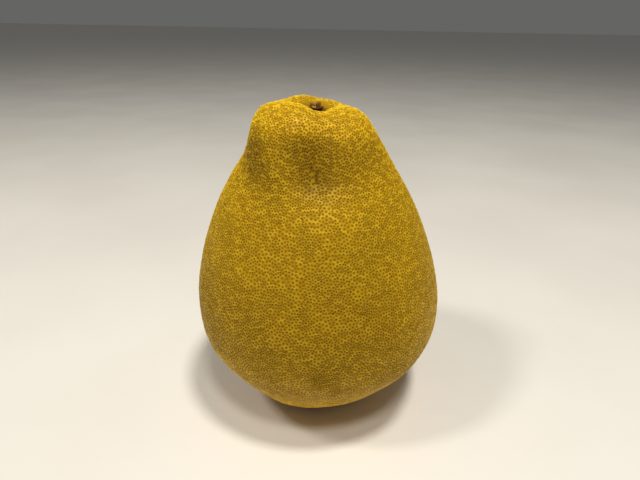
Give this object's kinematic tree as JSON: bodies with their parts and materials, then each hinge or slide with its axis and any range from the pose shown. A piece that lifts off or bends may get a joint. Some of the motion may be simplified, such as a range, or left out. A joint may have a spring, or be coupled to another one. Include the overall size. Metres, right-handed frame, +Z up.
{
  "type": "pear-shaped grapefruit (pomelo)",
  "caption": "Whole pear-shaped citrus fruit with dimpled yellow rind, a lobed neck end round a small stem pit, and a small flat spot to stand on.",
  "frame": {"origin": "centre of the underside of the bounding box, on the surface the fruit stands on", "axes": "+Z up from the blossom end to the stem end; +X to the right and -Y to the front as seen by a viewer facing the fruit"},
  "size_m": [0.1352, 0.1352, 0.1734],
  "materials": {
    "rind": "waxy golden yellow citrus rind, dimpled with oil glands, soft sheen",
    "dried_calyx": "dry brown woody calyx with a paler broken stalk end, matte"
  },
  "bodies": {
    "root": {"fruit": "rind", "stem_button": "dried_calyx"}
  },
  "joints": []
}
